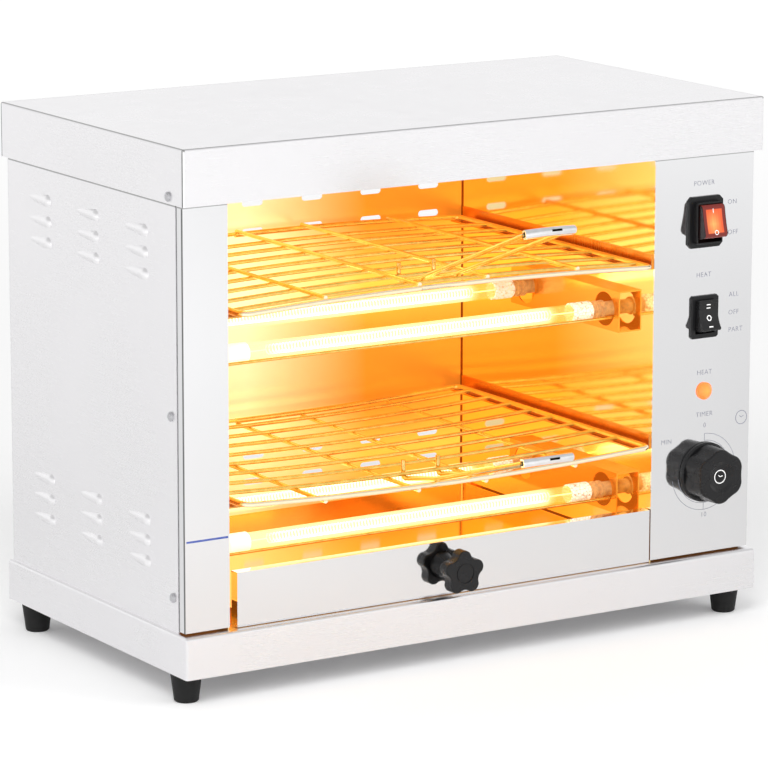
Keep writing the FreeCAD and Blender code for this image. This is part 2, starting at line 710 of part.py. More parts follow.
def crumb_tray_front():
    back = PANEL_FRONT + SHEET
    plate = block(TRAY_LEFT, TRAY_RIGHT, PANEL_FRONT, back, TRAY_PLATE_BOTTOM, TRAY_PLATE_TOP)
    returns = [block(x, x + SHEET, PANEL_FRONT, PANEL_FRONT + RETURN_DEPTH, TRAY_PLATE_BOTTOM,
                     TRAY_PLATE_TOP) for x in (TRAY_LEFT, TRAY_RIGHT - SHEET)]
    hem = block(TRAY_LEFT, TRAY_RIGHT, PANEL_FRONT, PANEL_FRONT + RETURN_DEPTH,
                TRAY_PLATE_TOP - SHEET, TRAY_PLATE_TOP)
    stud_hole = rod(Vector(KNOB_X, 0, KNOB_Z), Vector(KNOB_X, 12, KNOB_Z), STUD_RADIUS)
    return cut(fuse([plate, hem] + returns), [stud_hole])


def tray_knob():
    """A star knob: a five-lobed head on a cone-shaped neck, with a ring scored in its face."""
    neck_length = STAR_PROUD - STAR_THICKNESS
    head = Part.Face(lobed_outline(STAR_LOBES, STAR_RADIUS, STAR_VALLEY, neck_length))
    head = head.extrude(Vector(0, 0, STAR_THICKNESS))
    rims = [edge for edge in head.Edges if edge.BoundBox.ZLength < 1e-6]
    head = head.makeFillet(STAR_ROUND, rims)
    neck = Part.makeCone(STAR_NECK[0], STAR_NECK[1], neck_length + 0.5)
    inner, outer = STAR_RING
    ring = turned([(STAR_PROUD - 0.5, inner), (STAR_PROUD - 0.5, outer), (STAR_PROUD + 1, outer),
                   (STAR_PROUD + 1, inner)], Vector(0, 0, 0), Vector(0, 0, 1))
    bore = Part.makeCylinder(STUD_RADIUS + RUNNING_FIT, STUD_REACH + 1)
    knob = cut(fuse([head, neck]), [ring, bore])
    return facing_front(knob, KNOB_X, PANEL_FRONT, KNOB_Z)


def tray_knob_stud():
    """The stud of the star knob, with the nut that holds it behind the tray front."""
    shank = Part.makeCylinder(STUD_RADIUS, STUD_REACH + STUD_NUT, Vector(0, 0, -STUD_NUT))
    corners = [math.radians(60 * turn) for turn in range(6)]
    nut = outline([Vector(STUD_NUT_RADIUS * math.cos(turn), STUD_NUT_RADIUS * math.sin(turn), -STUD_NUT)
                   for turn in corners])
    nut = Part.Face(nut).extrude(Vector(0, 0, STUD_NUT - SHEET))
    return facing_front(fuse([shank, nut]), KNOB_X, PANEL_FRONT, KNOB_Z)


# Switches

def panel_window(centre, switch):
    """The cut-out in the control panel for a switch's neck."""
    wide, tall = switch["neck"]
    x, z = centre
    return block(x - wide / 2, x + wide / 2, 0, 12, z - tall / 2, z + tall / 2)


def framed_block(centre, size, front, rear, corner, rim):
    """A block ahead of the panel with cut or rounded upright corners and a rounded front rim."""
    x, z = centre
    wide, tall = size
    shape = block(x - wide / 2, x + wide / 2, front, rear, z - tall / 2, z + tall / 2)
    shape = shape.makeChamfer(corner, edges_along(shape, 1))
    edges = [edge for edge in shape.Edges if edge.BoundBox.YMax < front + 1e-6]
    return shape.makeFillet(rim, edges)


def switch_body(centre, switch):
    """Bezel in front of the panel, neck through it, a well for the rocker and three terminals."""
    x, z = centre
    front = PANEL_FRONT - switch["rise"]
    solids = [framed_block(centre, switch["bezel"], PANEL_FRONT - switch["proud"], PANEL_FRONT,
                           switch["corner"], BEZEL_RIM)]
    if switch["collar"]:
        solids.append(framed_block(centre, switch["collar"], front, PANEL_FRONT, COLLAR_CORNER,
                                   COLLAR_RIM))
    wide, tall = switch["neck"]
    rear = PANEL_FRONT + switch["depth"]
    solids.append(block(x - wide / 2, x + wide / 2, PANEL_FRONT, rear, z - tall / 2, z + tall / 2))
    for lift in (-TAB_PITCH, 0, TAB_PITCH):
        solids.append(block(x - TAB_WIDTH / 2, x + TAB_WIDTH / 2, rear, rear + TAB_LENGTH,
                            z + lift - TAB_SHEET / 2, z + lift + TAB_SHEET / 2))
    half_wide, half_tall = switch["well"]
    floor = switch["pivot"] + WELL_DEPTH
    well = block(x - half_wide, x + half_wide, front - 1, floor, z - half_tall, z + half_tall)
    reach = half_wide + STUB_SEAT
    pivot = rod(Vector(x - reach, switch["pivot"], z), Vector(x + reach, switch["pivot"], z),
                PIVOT_RADIUS + RUNNING_FIT)
    return cut(fuse(solids), [well, pivot])


def rocker(centre, switch):
    """The rocker at rest, its top pushed in, turning on two stubs in the body's sides."""
    x, z = centre
    half_wide, half_tall = switch["rocker"]
    pivot_y, crest, dip = switch["pivot"], switch["crest"], switch["dip"]
    def at(along, up):
        return Vector(x - half_wide, pivot_y + along, z + up)
    heel, belly = ROCKER_HEEL, ROCKER_BELLY
    back = [at(-crest, -half_tall), at(-heel, -half_tall), at(belly[0], -belly[1]),
            at(belly[0], belly[1]), at(-heel, half_tall), at(-crest, half_tall)]
    edges = [Part.Arc(at(-crest, half_tall), at(-dip, 0), at(-crest, -half_tall)).toShape()]
    edges += [Part.LineSegment(a, b).toShape() for a, b in zip(back, back[1:])]
    button = Part.Face(Part.Wire(edges)).extrude(Vector(2 * half_wide, 0, 0))
    ends = [edge for edge in edges_along(button, 0) if edge.BoundBox.YMax < pivot_y - crest + 1e-3]
    button = button.makeFillet(switch["end_radius"], ends)
    reach = half_wide + STUB_REACH
    stubs = rod(Vector(x - reach, pivot_y, z), Vector(x + reach, pivot_y, z), PIVOT_RADIUS)
    button = fuse([button, stubs])
    button.rotate(Vector(x, pivot_y, z), Vector(1, 0, 0), -switch["tilt"])
    return button


# Indicator, timer and wiring

def indicator_lens():
    """A domed lens with a rim on the panel and a spigot in the lamp body."""
    edge = LENS_RADIUS - LENS_STEP
    dome = [(0, 0), (0, LENS_RADIUS), (LENS_RIM, LENS_RADIUS)]
    for step in range(LENS_FACETS):
        angle = math.radians(90 * step / LENS_FACETS)
        dome.append((LENS_RIM + (LENS_RISE - LENS_RIM) * math.sin(angle), edge * math.cos(angle)))
    dome.append((LENS_RISE, 0))
    lens = turned(dome, Vector(0, 0, 0), Vector(0, 0, 1))
    spigot = Part.makeCylinder(SPIGOT_RADIUS, SPIGOT_LENGTH, Vector(0, 0, -SPIGOT_LENGTH))
    return facing_front(fuse([lens, spigot]), LENS_CENTRE[0], PANEL_FRONT, LENS_CENTRE[1])


def indicator_body():
    """The lamp body: a barrel through the panel with a nut behind it."""
    barrel = Part.makeCylinder(BARREL_RADIUS, BARREL_LENGTH, Vector(0, 0, -BARREL_LENGTH))
    nut = Part.makeCylinder(BARREL_NUT[0], BARREL_NUT[1], Vector(0, 0, -SHEET - BARREL_NUT[1]))
    socket = Part.makeCylinder(SPIGOT_RADIUS + RUNNING_FIT, SPIGOT_LENGTH + 1,
                               Vector(0, 0, -SPIGOT_LENGTH))
    body = fuse([barrel, nut]).cut(socket)
    return facing_front(body, LENS_CENTRE[0], PANEL_FRONT, LENS_CENTRE[1])


def timer_body():
    """The clockwork's case behind the panel, with a bore for its shaft."""
    x, z = TIMER_CENTRE
    half_wide, half_tall = TIMER_CASE
    case = block(x - half_wide, x + half_wide, PANEL_FRONT + SHEET, TIMER_REAR, z - half_tall,
                 z + half_tall)
    case = case.makeFillet(TIMER_CORNER, edges_along(case, 1))
    half_wide, half_tall = TIMER_PLATE
    plate = block(x - half_wide, x + half_wide, PANEL_FRONT + SHEET, PANEL_FRONT + 2 * SHEET,
                  z - half_tall, z + half_tall)
    bore = rod(Vector(x, 0, z), Vector(x, PANEL_FRONT + SHAFT_TAIL + 1, z), SHAFT_RADIUS + RUNNING_FIT)
    return cut(fuse([case, plate]), [bore])


def shaft_section(radius, flat, start, length):
    """A round bar along +Z with a flat on one side."""
    bar = Part.makeCylinder(radius, length, Vector(0, 0, start))
    return bar.cut(Part.makeBox(4 * radius, radius, length + 2, Vector(-2 * radius, flat, start - 1)))


def timer_shaft():
    plain = Part.makeCylinder(SHAFT_RADIUS, SHAFT_TAIL, Vector(0, 0, -SHAFT_TAIL))
    front = shaft_section(SHAFT_RADIUS, SHAFT_FLAT, 0, SHAFT_REACH)
    return facing_front(fuse([plain, front]), TIMER_CENTRE[0], PANEL_FRONT, TIMER_CENTRE[1])


def timer_knob():
    """A fluted knob on a round skirt, with a dished face."""
    low, high = TIMER_GAP, TIMER_GAP + SKIRT_THICKNESS
    edge = TIMER_SKIRT - SKIRT_BEVEL
    skirt = turned([(low, 0), (low, TIMER_SKIRT), (high - SKIRT_BEVEL, TIMER_SKIRT), (high, edge),
                    (high, 0)], Vector(0, 0, 0), Vector(0, 0, 1))
    wide, narrow = TIMER_TAPER
    foot_line = lobed_outline(TIMER_FLUTES, TIMER_GRIP + wide, TIMER_FLUTE + wide, high - 0.2)
    crown_line = lobed_outline(TIMER_FLUTES, TIMER_GRIP - narrow, TIMER_FLUTE - narrow, TIMER_PROUD)
    grip = Part.makeLoft([foot_line, crown_line], True, True)
    rim = [edge for edge in grip.Edges if edge.BoundBox.ZMin > TIMER_PROUD - 1e-3]
    grip = grip.makeFillet(TIMER_ROUND, rim)
    profile = [(TIMER_PROUD - depth, radius) for depth, radius in TIMER_DISH]
    dish = turned(profile, Vector(0, 0, 0), Vector(0, 0, 1))
    bore = shaft_section(SHAFT_RADIUS + RUNNING_FIT, SHAFT_FLAT + RUNNING_FIT, -1.0, SHAFT_REACH + 2)
    knob = cut(fuse([skirt, grip]), [dish, bore])
    return facing_front(knob, TIMER_CENTRE[0], PANEL_FRONT, TIMER_CENTRE[1])


def terminal_block():
    """A strip of four terminals on the base, between the supply and the switches."""
    front, rear = TERMINAL_ENDS
    screw, wire = TERMINAL_HOLES
    shape = block(TERMINAL_LEFT, TERMINAL_LEFT + TERMINAL_WAYS * TERMINAL_PITCH, front, rear,
                  BASE_HEIGHT, BASE_HEIGHT + TERMINAL_HEIGHT)
    tools = []
    for way in range(TERMINAL_WAYS):
        x = TERMINAL_LEFT + (way + 0.5) * TERMINAL_PITCH
        middle = Vector(x, (front + rear) / 2, BASE_HEIGHT + 9)
        tools.append(rod(middle, middle + Vector(0, 0, TERMINAL_HEIGHT), screw))
        tools.append(rod(Vector(x, front - 1, BASE_HEIGHT + 5), Vector(x, rear + 1, BASE_HEIGHT + 5),
                         wire))
    return cut(shape, tools)


def cable_gland():
    """A gland in the rear panel: flange and dome outside, thread and lock nut inside."""
    x, z = GLAND_CENTRE
    thread, bore, flange = GLAND_THREAD, GLAND_BORE, GLAND_FLANGE
    profile = [(-12, bore), (-12, thread), (-SHEET - 4, thread), (-SHEET - 4, flange),
               (-SHEET, flange), (-SHEET, thread), (0, thread), (0, flange), (3, flange), (3, 9.5),
               (9, 9.0), (12.5, 7.0), (GLAND_REACH, 5.0), (GLAND_REACH, bore)]
    return turned(profile, Vector(x, PANEL_REAR + SHEET, z), Vector(0, 1, 0))


# Feet and fasteners

def foot(place):
    """A tapered rubber foot with a recess for its screw."""
    bore = STUD_RADIUS + 0.1
    profile = [(0, bore), (0, FOOT_TOP_RADIUS), (FOOT_HEIGHT - 1, FOOT_BOTTOM_RADIUS),
               (FOOT_HEIGHT, FOOT_BOTTOM_RADIUS - 1), (FOOT_HEIGHT, FOOT_RECESS),
               (FOOT_GRIP, FOOT_RECESS), (FOOT_GRIP, bore)]
    return turned(profile, place, Vector(0, 0, -1))


def foot_screw(place):
    """A pan-head screw from the foot's recess up through the base flange, with a nut."""
    nut_top, nut_radius = FOOT_NUT
    head, head_height = FOOT_SCREW_HEAD
    profile = [(-nut_top, 0), (-nut_top, nut_radius), (-SHEET, nut_radius), (-SHEET, STUD_RADIUS),
               (FOOT_GRIP, STUD_RADIUS), (FOOT_GRIP, head), (FOOT_GRIP + head_height - 1, head),
               (FOOT_GRIP + head_height, head - 1.4), (FOOT_GRIP + head_height, 0)]
    return turned(profile, place, Vector(0, 0, -1))


def pan_screw(seat, outward, length):
    """A pan-head screw whose head sits on seat and whose shank runs inward."""
    profile = [(-length, 0), (-length, SCREW_SHANK), (0, SCREW_SHANK), (0, SCREW_HEAD),
               (SCREW_RISE * 0.5, SCREW_HEAD), (SCREW_RISE, SCREW_HEAD - 1.2), (SCREW_RISE, 0)]
    return turned(profile, seat, outward)


def case_screws():
    screws = []
    for row, (y, z) in enumerate(SIDE_SCREWS):
        on_lid = row == 0
        face = 0.0 if on_lid else SIDE_INSET
        length = 7.0 if on_lid else 4.0
        screws.append(pan_screw(Vector(face, y, z), Vector(-1, 0, 0), length))
        screws.append(pan_screw(Vector(CASE_WIDTH - face, y, z), Vector(1, 0, 0), length))
    for x, z in REAR_SCREWS:
        screws.append(pan_screw(Vector(x, PANEL_REAR + SHEET, z), Vector(0, 1, 0), 4.0))
    return Part.Compound(screws)


# Writing the nodes

def part_origin():
    """The middle of the part's footprint, on the surface that the feet rest on."""
    front = min(grip_front(tier) for tier in TIER_LEDGES)
    rear = PANEL_REAR + SHEET + GLAND_REACH
    return Vector(CASE_WIDTH / 2, (front + rear) / 2, -FOOT_HEIGHT)


def write(name, shape):
    placed = shape.copy()
    placed.translate(-part_origin())
    placed.exportStep(os.path.join("parts", name + ".step"))
    print(name, "valid" if shape.isValid() else "INVALID", len(shape.Solids), round(shape.Volume, 1))


def write_tiers():
    for tier in TIER_LEDGES:
        left = left_rail(tier)
        write(tier + "_left_rail", left)
        write(tier + "_right_rail", mirrored(left, CHAMBER_MIDDLE))
        write(tier + "_rack", rack(tier))
        write(tier + "_rack_handle", handle(tier))
        write(tier + "_handle_grip", handle_grip(tier))


def write_lamps():
    for tier in TIER_LAMPS:
        left = left_bracket(tier)
        write(tier + "_left_lamp_bracket", left)
        write(tier + "_right_lamp_bracket", mirrored(left, CHAMBER_MIDDLE))
        for place in LAMP_DEPTHS:
            write(tier + "_" + place + "_lamp_tube", quartz_tube(tier, place))
        write(tier + "_heating_coils", Part.Compound([heating_coil(tier, p) for p in LAMP_DEPTHS]))
        write(tier + "_lamp_guards", Part.Compound([guard_wire(tier, p) for p in LAMP_DEPTHS]))
        caps = [end_cap(tier, place, side) for place in LAMP_DEPTHS for side in (-1, 1)]
        write(tier + "_lamp_caps", Part.Compound(caps))
    holders = [lamp_holder(tier, place, side)
               for tier in TIER_LAMPS for place in LAMP_DEPTHS for side in (-1, 1)]
    write("lamp_holders", Part.Compound(holders))


def main():
    os.makedirs("parts", exist_ok=True)
    for make in (lid, base_tray, left_side_panel, right_side_panel, rear_panel, left_front_strip,
                 control_panel, left_chamber_wall, right_chamber_wall, top_reflector,
                 crumb_tray_pan, crumb_tray_front, tray_knob, tray_knob_stud,
                 indicator_body, indicator_lens, timer_body, timer_shaft, timer_knob,
                 terminal_block, cable_gland, case_screws):
        write(make.__name__, make())
    write_tiers()
    write_lamps()
    write("power_switch_body", switch_body(POWER_CENTRE, POWER))
    write("power_rocker", rocker(POWER_CENTRE, POWER))
    write("heat_switch_body", switch_body(HEAT_CENTRE, HEAT))
    write("heat_rocker", rocker(HEAT_CENTRE, HEAT))
    write("feet", Part.Compound([foot(place) for place in foot_places()]))
    write("foot_screws", Part.Compound([foot_screw(place) for place in foot_places()]))


main()
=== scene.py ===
import json
import math
from functools import reduce

import bmesh
import bpy
from mathutils import Matrix, Vector
from mathutils.bvhtree import BVHTree

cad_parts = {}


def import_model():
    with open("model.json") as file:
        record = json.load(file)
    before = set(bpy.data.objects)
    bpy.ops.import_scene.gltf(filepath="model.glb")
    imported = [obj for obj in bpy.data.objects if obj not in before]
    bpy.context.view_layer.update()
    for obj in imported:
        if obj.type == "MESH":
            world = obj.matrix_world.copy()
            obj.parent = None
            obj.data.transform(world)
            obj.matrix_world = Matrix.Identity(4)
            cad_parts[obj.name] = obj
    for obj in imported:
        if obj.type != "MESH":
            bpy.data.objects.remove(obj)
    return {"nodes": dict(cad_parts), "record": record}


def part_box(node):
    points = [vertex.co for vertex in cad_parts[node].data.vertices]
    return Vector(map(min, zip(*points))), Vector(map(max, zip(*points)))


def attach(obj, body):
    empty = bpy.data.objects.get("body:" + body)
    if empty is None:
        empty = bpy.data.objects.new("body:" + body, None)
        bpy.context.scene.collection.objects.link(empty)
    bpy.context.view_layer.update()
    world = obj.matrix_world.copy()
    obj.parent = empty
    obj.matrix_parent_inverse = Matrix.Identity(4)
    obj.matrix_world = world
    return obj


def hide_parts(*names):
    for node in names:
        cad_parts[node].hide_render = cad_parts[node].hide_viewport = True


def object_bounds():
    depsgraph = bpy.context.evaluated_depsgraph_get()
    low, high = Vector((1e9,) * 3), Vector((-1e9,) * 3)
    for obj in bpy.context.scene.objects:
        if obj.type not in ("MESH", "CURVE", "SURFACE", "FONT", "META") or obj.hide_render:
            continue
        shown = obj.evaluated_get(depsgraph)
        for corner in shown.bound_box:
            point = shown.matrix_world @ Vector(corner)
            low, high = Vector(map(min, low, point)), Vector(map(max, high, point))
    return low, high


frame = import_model()
cad_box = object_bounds()

# Metres, in the part's own frame: X right, Y to the rear, Z up from the floor.
MM = 0.001


def middle(node):
    low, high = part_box(node)
    return (low + high) / 2


TIERS = ("lower", "upper", "top")
RACK_TIERS = TIERS[:2]
SIDES = ("left", "right")
CASE = "case"

PANEL_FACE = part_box("control_panel")[0].y
CHAMBER_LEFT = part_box("left_chamber_wall")[1].x
CHAMBER_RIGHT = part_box("right_chamber_wall")[0].x
CHAMBER_MIDDLE = (CHAMBER_LEFT + CHAMBER_RIGHT) / 2
REAR_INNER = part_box("rear_panel")[0].y
POWER = middle("power_switch_body")
HEAT = middle("heat_switch_body")
TIMER = middle("timer_knob")
INDICATOR = middle("indicator_lens")

STEEL = (0.86, 0.86, 0.87)
SATIN_STEEL = (0.94, 0.93, 0.945)
# Steel in the chamber: the orange and yellow of the lamps' light are painted into these colours
LAMPLIT_STEEL_PAINT = (0.8, 0.36, 0.06)
PALE_LAMPLIT_STEEL_PAINT = (1.0, 0.84, 0.58)
LAMPLIT_MIRROR_PAINT = (1.0, 0.78, 0.38)
LAMPLIT_PAN_PAINT = (1.0, 0.56, 0.16)
LAMPLIT_BRACKET_PAINT = (0.85, 0.42, 0.1)
LAMPLIT_RAIL_PAINT = (0.8, 0.36, 0.1)
ZINC = (0.6, 0.6, 0.62)
GRIP_CHROME = (0.92, 0.92, 0.93)
SEAM_SHADE = (0.3, 0.06, 0.01)
GRIP_SHADOW_BLACK = (0.02, 0.015, 0.01)
KNOB_BLACK = (0.012, 0.012, 0.013)
ROCKER_BLACK = (0.015, 0.015, 0.016)
RUBBER_BLACK = (0.012, 0.012, 0.012)
GREY_PLASTIC = (0.5, 0.5, 0.51)
WHITE_PLASTIC = (0.85, 0.85, 0.83)

# Colours of painted lamp light, glowing on the chamber's steel and wires
PAINTED_LAMPLIGHT_ORANGE = (1.0, 0.34, 0.03)
GLOW_ORANGE = (1.0, 0.33, 0.025)
GLOW_YELLOW = (1.0, 0.62, 0.08)
GLOW_PALE = (1.0, 0.84, 0.5)
WIRE_GLOW = (1.0, 0.62, 0.12)


# Shader helpers

class Nodes:
    """Short calls that add nodes to a node tree."""

    def __init__(self, tree):
        self.nodes = tree.nodes
        self.links = tree.links

    def node(self, kind, inputs=None, **settings):
        made = self.nodes.new(kind)
        for key, value in settings.items():
            setattr(made, key, value)
        for key, value in (inputs or {}).items():
            self.feed(made.inputs[key], value)
        return made

    def feed(self, socket, value):
        """Link an output into the socket, or set it to a plain value."""
        if isinstance(value, bpy.types.NodeSocket):
            self.links.new(value, socket)
        else:
            socket.default_value = value

    def math(self, operation, first, second=0.0):
        return self.node("ShaderNodeMath", {0: first, 1: second}, operation=operation).outputs[0]

    def combine(self, operation, factors):
        return reduce(lambda first, second: self.math(operation, first, second), factors)

    def span(self, factor, low, high, start=0.0, stop=1.0):
        """Low where the factor is at the start, high where it is at the stop, held beyond them."""
        inputs = {"Value": factor, "From Min": start, "From Max": stop, "To Min": low, "To Max": high}
        return self.node("ShaderNodeMapRange", inputs).outputs["Result"]

    def is_ray(self, kind):
        return self.node("ShaderNodeLightPath").outputs[f"Is {kind} Ray"]

    def seen_straight(self):
        """1 for rays from the camera and for those mirrored by metal or passed by glass, else 0."""
        kinds = ("Camera", "Glossy", "Transmission")
        return self.combine("MAXIMUM", [self.is_ray(kind) for kind in kinds])


class Shader(Nodes):
    """A material under construction, with its principled shader."""

    def __init__(self, name):
        self.material = bpy.data.materials.new(name)
        self.material.use_nodes = True
        super().__init__(self.material.node_tree)
        self.bsdf = self.nodes["Principled BSDF"]

    def set(self, **values):
        for key, value in values.items():
            self.feed(self.bsdf.inputs[key.replace("_", " ")], value)

    def glow(self, colour, strength):
        self.set(Emission_Color=colour if isinstance(colour, bpy.types.NodeSocket) else (*colour, 1),
                 Emission_Strength=strength)

    def place(self, scale=(1, 1, 1)):
        """Object coordinates, stretched."""
        coords = self.node("ShaderNodeTexCoord")
        mapping = self.node("ShaderNodeMapping", {"Vector": coords.outputs["Object"], "Scale": scale})
        return mapping.outputs["Vector"]

    def along(self, axis):
        """One object coordinate, in metres."""
        split = self.node("ShaderNodeSeparateXYZ", {"Vector": self.place()})
        return split.outputs[axis]

    def noise(self, scale, stretch=(1, 1, 1), detail=3.0, rough=0.5):
        inputs = {"Vector": self.place(stretch), "Scale": scale, "Detail": detail, "Roughness": rough}
        return self.node("ShaderNodeTexNoise", inputs).outputs["Fac"]

    def ramp(self, factor, first, second):
        """One colour up to the first stop and another from the second, as (position, colour)."""
        made = self.node("ShaderNodeValToRGB", {"Fac": factor})
        for element, (position, colour) in zip(made.color_ramp.elements, (first, second)):
            element.position = position
            element.color = (*colour, 1)
        return made.outputs["Color"]

    def mottle(self, scale, first, second):
        """Soft spots of two colours."""
        return self.ramp(self.noise(scale), (0.3, first), (0.7, second))

    def inside(self, axis, centre, half, blur):
        """1 where the object coordinate is within half of the centre, and 0 beyond the blur."""
        offset = self.math("ABSOLUTE", self.math("SUBTRACT", self.along(axis), centre))
        return self.span(offset, 1.0, 0.0, half - blur, half + blur)

    def within(self, *bounds):
        """1 where every (axis, centre, half, blur) bound holds."""
        return self.combine("MULTIPLY", [self.inside(*bound) for bound in bounds])

    def mix(self, factor, first, second):
        made = self.node("ShaderNodeMix", data_type="RGBA")
        values = {"Factor_Float": factor, "A_Color": first, "B_Color": second}
        for socket in made.inputs:
            if socket.identifier not in values:
                continue
            value = values[socket.identifier]
            self.feed(socket, (*value, 1) if isinstance(value, (tuple, list)) else value)
        return next(s for s in made.outputs if s.identifier == "Result_Color")

    def bump(self, height, strength, distance=0.2 * MM):
        inputs = {"Height": height, "Strength": strength, "Distance": distance}
        self.set(Normal=self.node("ShaderNodeBump", inputs).outputs["Normal"])


def dimmed(colour, share):
    return [c * share for c in colour]


# Sheet steel

# Noise squeezed along one axis, so that its streaks run across that axis
LEVEL_GRAIN = (1, 1, 60)
UPRIGHT_GRAIN = (60, 1, 1)
DEPTH_GRAIN = (1, 60, 1)
STREAK_SCALE = 60
CLOUD_SCALE = 9
CLOUD_SHADE = 0.98
FINE_BUMP = 0.05 * MM
SHADE_LINE_BLUR = 0.25 * MM


def streaks_of(shader, grain):
    return shader.noise(STREAK_SCALE, grain, detail=4, rough=0.6)


def brushed(name, colour, rough, grain, depth):
    """Stainless sheet: fine streaks along the brushing, and soft cloudy wear."""
    shader = Shader(name)
    streaks = streaks_of(shader, grain)
    clouds = shader.noise(CLOUD_SCALE)
    tint = shader.ramp(clouds, (0.3, dimmed(colour, CLOUD_SHADE)), (0.7, colour))
    wear = shader.math("MULTIPLY", streaks, clouds)
    shader.set(Base_Color=tint, Metallic=1.0, Roughness=shader.span(wear, rough * 0.8, rough * 1.35))
    shader.bump(streaks, depth, FINE_BUMP)
    return shader


def satin_steel(name="satin_steel", shade_lines=()):
    """Satin sheet, with painted shade lines where it is bent or meets another sheet."""
    shader = brushed(name, SATIN_STEEL, 0.3, LEVEL_GRAIN, 0.06)
    paint_shade_lines(shader, shade_lines)
    return shader.material


def polished_steel(name="polished_steel", shade_lines=()):
    shader = brushed(name, STEEL, 0.07, UPRIGHT_GRAIN, 0.06)
    paint_shade_lines(shader, shade_lines)
    return shader.material


def paint_shade_lines(shader, shade_lines):
    """Each painted shade line is a grey, then the (axis, centre, half width) bounds of the line."""
    colour = shader.bsdf.inputs["Base Color"].links[0].from_socket
    for grey, *bounds in shade_lines:
        line = shader.within(*[(*bound, SHADE_LINE_BLUR) for bound in bounds])
        colour = shader.mix(line, colour, (grey, grey, grey))
    shader.set(Base_Color=colour)


def lamplit_mirror(name, colour, rough=0.07, glow_amount=0.06):
    """Bright mirror sheet inside the chamber, with the lamps' orange light painted into its colour and
    as a glow.
    """
    shader = brushed(name, colour, rough, LEVEL_GRAIN, 0.05)
    shader.glow(PAINTED_LAMPLIGHT_ORANGE, glow_amount)
    return shader.material


# The rear panel's painted glow of lamp light: its bands stand a little below the lamps that light them
GLOW_DROP = 4 * MM
GLOW_HALF = 22 * MM
GLOW_BLUR = 20 * MM
PALE_SHARE = 0.72
PALE_ENDS = (CHAMBER_MIDDLE - 15 * MM, CHAMBER_MIDDLE + 90 * MM)


def paint_lamplight(shader, lamplight_share):
    """The lamps' light on the rear panel, painted as colour and glow: yellow near the lower two tiers
    of lamps, pale at the left.
    """
    near = shader.combine("MAXIMUM", [
        shader.inside("Z", middle(f"{tier}_front_lamp_tube").z - GLOW_DROP, GLOW_HALF, GLOW_BLUR)
        for tier in RACK_TIERS])
    pale = shader.span(shader.along("X"), PALE_SHARE, 0.0, *PALE_ENDS)
    colour = shader.mix(pale, shader.mix(near, GLOW_ORANGE, GLOW_YELLOW), GLOW_PALE)
    strength = shader.span(shader.math("MAXIMUM", near, pale), 0.5, 0.86)
    shader.glow(colour, shader.math("MULTIPLY", strength, lamplight_share))
    return shader.mix(pale, LAMPLIT_STEEL_PAINT, PALE_LAMPLIT_STEEL_PAINT)


def rear_panel_steel():
    """Plain satin steel, but with the lamps' orange light painted over the face that closes the
    chamber.
    """
    shader = Shader("rear_panel_steel")
    half = (CHAMBER_RIGHT - CHAMBER_LEFT) / 2 + 3 * MM
    across = shader.inside("X", CHAMBER_MIDDLE, half, 0.5 * MM)
    seam = shader.inside("X", CHAMBER_RIGHT, 1.1 * MM, 0.2 * MM)
    inner = shader.span(shader.along("Y"), 1.0, 0.0, REAR_INNER + 0.3 * MM, REAR_INNER + 0.6 * MM)
    lamplit_face = shader.math("MULTIPLY", across, inner)
    plain = shader.mottle(CLOUD_SCALE, dimmed(STEEL, CLOUD_SHADE), STEEL)
    lamplight_share = shader.math("MULTIPLY", lamplit_face, shader.span(seam, 1.0, 0.04))
    lamplit_colour = shader.mix(seam, paint_lamplight(shader, lamplight_share), SEAM_SHADE)
    shader.set(Base_Color=shader.mix(lamplit_face, plain, lamplit_colour), Metallic=1.0, Roughness=0.32)
    shader.bump(streaks_of(shader, LEVEL_GRAIN), 0.1, FINE_BUMP)
    return shader.material


# Wires and fittings of metal

SPECK_SCALE = 150
SMEAR_SCALE = 400
FRONT_WIRE = 4 * MM
GRIP_BLUR = 0.5 * MM


def chrome(name, colour, rough):
    shader = Shader(name)
    shader.set(Base_Color=shader.mottle(SPECK_SCALE, dimmed(colour, 0.9), colour), Metallic=1.0,
               Roughness=shader.span(shader.noise(SMEAR_SCALE), rough * 0.7, rough * 1.5))
    return shader.material


def lamplit_wire(shader, dark, light, mask, masked):
    """Chromed wire, with the lamps' golden orange light painted into its colour, but of another colour
    where the mask is 1.
    """
    spots = shader.mottle(SPECK_SCALE, dark, light)
    shader.set(Base_Color=shader.mix(mask, spots, masked), Metallic=1.0,
               Roughness=shader.span(shader.noise(SMEAR_SCALE), 0.1, 0.2))


def rack_wire():
    """Rack wire, paler at its front edge, with the lamps' light painted into its colour and as a faint
    glow.
    """
    shader = Shader("rack_wire")
    edge = shader.inside("Y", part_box("lower_rack")[0].y, FRONT_WIRE, 1 * MM)
    lamplit_wire(shader, (0.84, 0.54, 0.12), (0.96, 0.7, 0.22), edge, (1.0, 0.9, 0.68))
    shader.glow(WIRE_GLOW, 0.1)
    return shader.material


def handle_wire():
    """Handle wire, with the lamps' light painted into its colour, and painted black as shadow where it
    runs through its rolled grip.
    """
    shader = Shader("handle_wire")
    grips = []
    for tier in RACK_TIERS:
        low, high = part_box(f"{tier}_handle_grip")
        centre, half = (low + high) / 2, (high - low) / 2
        grips.append(shader.within(("X", centre.x, half.x - 1 * MM, GRIP_BLUR),
                                   ("Z", centre.z, half.z, GRIP_BLUR),
                                   ("Y", centre.y, half.y, GRIP_BLUR)))
    grip_shadow = shader.combine("MAXIMUM", grips)
    lamplit_wire(shader, (0.92, 0.66, 0.2), (1.0, 0.82, 0.36), grip_shadow, GRIP_SHADOW_BLACK)
    return shader.material


# Lamps

